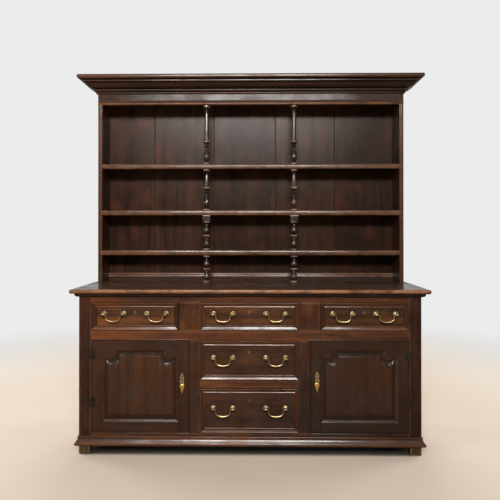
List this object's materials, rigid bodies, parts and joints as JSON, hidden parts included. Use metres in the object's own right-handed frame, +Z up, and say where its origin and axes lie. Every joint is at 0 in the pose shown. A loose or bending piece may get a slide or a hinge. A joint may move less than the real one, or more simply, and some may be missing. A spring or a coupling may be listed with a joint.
{
  "type": "welsh dresser",
  "caption": "Dark oak welsh dresser: a base with sliding drawers and hinged cupboard doors under an open plate rack with turned spindles and a moulded cornice.",
  "frame": {"origin": "on the floor under the middle of the dresser", "axes": "+Z up, the front faces -Y, +X to the viewer's right"},
  "size_m": [1.938, 0.51, 2.025],
  "materials": {
    "frame_oak": "dark reddish-brown polished old oak",
    "drawer_oak": "dark red-brown polished old oak",
    "door_oak": "darker polished old oak",
    "worktop_oak": "worn polished old oak",
    "rack_oak": "dark waxed old oak",
    "back_oak": "greyer waxed old oak boards",
    "lining_oak": "dry unpolished oak",
    "foot_oak": "pale worn oak",
    "brass": "aged brass",
    "iron": "dark wrought iron"
  },
  "bodies": {
    "carcass": {"worktop": "worktop_oak", "worktop_cove": "frame_oak", "corner_posts": "frame_oak", "end_rails": "frame_oak", "end_panels": "frame_oak", "front_rails": "frame_oak", "muntins": "frame_oak", "back_rails": "lining_oak", "partitions": "lining_oak", "cupboard_floor": "lining_oak", "drawer_runners": "lining_oak", "base_backboards": "lining_oak", "plinth_moulding": "frame_oak", "feet": "foot_oak", "door_beads": "frame_oak", "rack_shelves": "rack_oak", "rack_uprights": "rack_oak", "frieze_board": "rack_oak", "rack_top_board": "rack_oak", "rack_bottom_rail": "rack_oak", "cornice": "rack_oak", "rack_backboards": "back_oak", "rack_spindles": "rack_oak", "hinge_post_leaves": "iron"},
    "top_left_drawer": {"top_left_drawer_front": "drawer_oak", "top_left_drawer_box": "lining_oak", "top_left_drawer_handle_posts": "brass"},
    "top_left_drawer_left_bail": {"top_left_drawer_left_bail": "brass"},
    "top_left_drawer_right_bail": {"top_left_drawer_right_bail": "brass"},
    "top_middle_drawer": {"top_middle_drawer_front": "drawer_oak", "top_middle_drawer_box": "lining_oak", "top_middle_drawer_handle_posts": "brass"},
    "top_middle_drawer_left_bail": {"top_middle_drawer_left_bail": "brass"},
    "top_middle_drawer_right_bail": {"top_middle_drawer_right_bail": "brass"},
    "top_right_drawer": {"top_right_drawer_front": "drawer_oak", "top_right_drawer_box": "lining_oak", "top_right_drawer_handle_posts": "brass"},
    "top_right_drawer_left_bail": {"top_right_drawer_left_bail": "brass"},
    "top_right_drawer_right_bail": {"top_right_drawer_right_bail": "brass"},
    "centre_drawer": {"centre_drawer_front": "drawer_oak", "centre_drawer_box": "lining_oak", "centre_drawer_handle_posts": "brass"},
    "centre_drawer_left_bail": {"centre_drawer_left_bail": "brass"},
    "centre_drawer_right_bail": {"centre_drawer_right_bail": "brass"},
    "bottom_drawer": {"bottom_drawer_front": "drawer_oak", "bottom_drawer_box": "lining_oak", "bottom_drawer_handle_posts": "brass"},
    "bottom_drawer_left_bail": {"bottom_drawer_left_bail": "brass"},
    "bottom_drawer_right_bail": {"bottom_drawer_right_bail": "brass"},
    "right_door": {"right_door_frame": "door_oak", "right_door_panel": "door_oak", "right_door_hinge_leaves": "iron", "right_door_escutcheon": "brass", "right_door_lock": "iron"},
    "left_door": {"left_door_frame": "door_oak", "left_door_panel": "door_oak", "left_door_hinge_leaves": "iron", "left_door_escutcheon": "brass", "left_door_lock": "iron"}
  },
  "joints": [
    {"name": "top_left_drawer_slide", "type": "slide", "parent": "carcass", "child": "top_left_drawer", "axis": [0, -1, 0], "range_m": [0, 0.3]},
    {"name": "top_left_drawer_left_bail_swing", "type": "hinge", "parent": "top_left_drawer", "child": "top_left_drawer_left_bail", "pos_m": [-0.6975, -0.235, 0.719], "axis": [-1, 0, 0], "range_deg": [0, 90]},
    {"name": "top_left_drawer_right_bail_swing", "type": "hinge", "parent": "top_left_drawer", "child": "top_left_drawer_right_bail", "pos_m": [-0.4775, -0.235, 0.719], "axis": [-1, 0, 0], "range_deg": [0, 90]},
    {"name": "top_middle_drawer_slide", "type": "slide", "parent": "carcass", "child": "top_middle_drawer", "axis": [0, -1, 0], "range_m": [0, 0.3]},
    {"name": "top_middle_drawer_left_bail_swing", "type": "hinge", "parent": "top_middle_drawer", "child": "top_middle_drawer_left_bail", "pos_m": [-0.135, -0.235, 0.719], "axis": [-1, 0, 0], "range_deg": [0, 90]},
    {"name": "top_middle_drawer_right_bail_swing", "type": "hinge", "parent": "top_middle_drawer", "child": "top_middle_drawer_right_bail", "pos_m": [0.135, -0.235, 0.719], "axis": [-1, 0, 0], "range_deg": [0, 90]},
    {"name": "top_right_drawer_slide", "type": "slide", "parent": "carcass", "child": "top_right_drawer", "axis": [0, -1, 0], "range_m": [0, 0.3]},
    {"name": "top_right_drawer_left_bail_swing", "type": "hinge", "parent": "top_right_drawer", "child": "top_right_drawer_left_bail", "pos_m": [0.4775, -0.235, 0.719], "axis": [-1, 0, 0], "range_deg": [0, 90]},
    {"name": "top_right_drawer_right_bail_swing", "type": "hinge", "parent": "top_right_drawer", "child": "top_right_drawer_right_bail", "pos_m": [0.6975, -0.235, 0.719], "axis": [-1, 0, 0], "range_deg": [0, 90]},
    {"name": "centre_drawer_slide", "type": "slide", "parent": "carcass", "child": "centre_drawer", "axis": [0, -1, 0], "range_m": [0, 0.3]},
    {"name": "centre_drawer_left_bail_swing", "type": "hinge", "parent": "centre_drawer", "child": "centre_drawer_left_bail", "pos_m": [-0.135, -0.235, 0.4945], "axis": [-1, 0, 0], "range_deg": [0, 90]},
    {"name": "centre_drawer_right_bail_swing", "type": "hinge", "parent": "centre_drawer", "child": "centre_drawer_right_bail", "pos_m": [0.135, -0.235, 0.4945], "axis": [-1, 0, 0], "range_deg": [0, 90]},
    {"name": "bottom_drawer_slide", "type": "slide", "parent": "carcass", "child": "bottom_drawer", "axis": [0, -1, 0], "range_m": [0, 0.3]},
    {"name": "bottom_drawer_left_bail_swing", "type": "hinge", "parent": "bottom_drawer", "child": "bottom_drawer_left_bail", "pos_m": [-0.135, -0.235, 0.2375], "axis": [-1, 0, 0], "range_deg": [0, 90]},
    {"name": "bottom_drawer_right_bail_swing", "type": "hinge", "parent": "bottom_drawer", "child": "bottom_drawer_right_bail", "pos_m": [0.135, -0.235, 0.2375], "axis": [-1, 0, 0], "range_deg": [0, 90]},
    {"name": "right_door_swing", "type": "hinge", "parent": "carcass", "child": "right_door", "pos_m": [0.812, -0.222, 0.35], "axis": [0, 0, 1], "range_deg": [0, 115]},
    {"name": "left_door_swing", "type": "hinge", "parent": "carcass", "child": "left_door", "pos_m": [-0.812, -0.222, 0.35], "axis": [0, 0, -1], "range_deg": [0, 115]}
  ]
}
